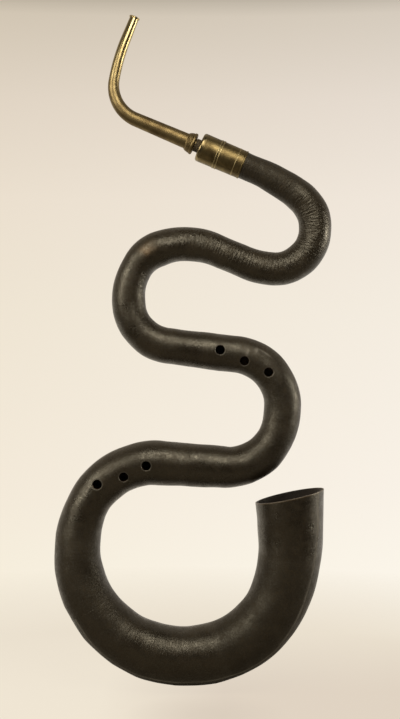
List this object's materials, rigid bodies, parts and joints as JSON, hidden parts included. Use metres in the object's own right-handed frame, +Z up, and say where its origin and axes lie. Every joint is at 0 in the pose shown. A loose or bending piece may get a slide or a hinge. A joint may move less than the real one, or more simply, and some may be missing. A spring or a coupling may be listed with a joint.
{
  "type": "serpent bass horn",
  "caption": "Serpent bass horn: coiled conical wooden tube under dark leather, finger holes, upturned bell, brass ferrule and a bent brass crook that turns and pulls out.",
  "frame": {"origin": "the place under the crown of the second arch where the horn hangs", "axes": "+Z up as the horn hangs, +X to the right of someone facing its finger holes, which face -Y"},
  "size_m": [0.4293, 0.1068, 1.0368],
  "materials": {
    "leather": "old dark leather, polished by handling",
    "walnut": "bare carved walnut, darkened in the bore",
    "linen": "glue-soaked linen strip",
    "ferrule_brass": "aged brass, dull and brown in places",
    "crook_brass": "aged brass, brighter at the thin end",
    "thread": "waxed thread"
  },
  "bodies": {
    "horn": {"leather_1": "leather", "leather_2": "leather", "leather_3": "leather", "leather_4": "leather", "leather_5": "leather", "leather_6": "leather", "wood_front_1": "walnut", "wood_rear_1": "walnut", "wood_front_2": "walnut", "wood_rear_2": "walnut", "wood_front_3": "walnut", "wood_rear_3": "walnut", "wood_front_4": "walnut", "wood_rear_4": "walnut", "wood_front_5": "walnut", "wood_rear_5": "walnut", "wood_front_6": "walnut", "wood_rear_6": "walnut", "joint_band_1": "linen", "joint_band_2": "linen", "joint_band_3": "linen", "joint_band_4": "linen", "joint_band_5": "linen", "ferrule_mouth_plate": "ferrule_brass", "ferrule_sleeve": "ferrule_brass", "ferrule_bead_ring": "ferrule_brass", "ferrule_end_ring": "ferrule_brass", "socket_tube": "ferrule_brass"},
    "crook_slide": {"tenon_lapping": "thread"},
    "crook": {"crook_tube": "crook_brass", "crook_tip_ring": "crook_brass", "crook_collar": "crook_brass", "crook_tenon": "crook_brass"}
  },
  "joints": [
    {"name": "crook_pull", "type": "slide", "parent": "horn", "child": "crook_slide", "axis": [-0.9205, 0, 0.3907], "range_m": [-0.006, 0.045]},
    {"name": "crook_turn", "type": "hinge", "parent": "crook_slide", "child": "crook", "pos_m": [0.02125, 0, 0.17717], "axis": [-0.9205, 0, 0.3907], "continuous": true}
  ]
}
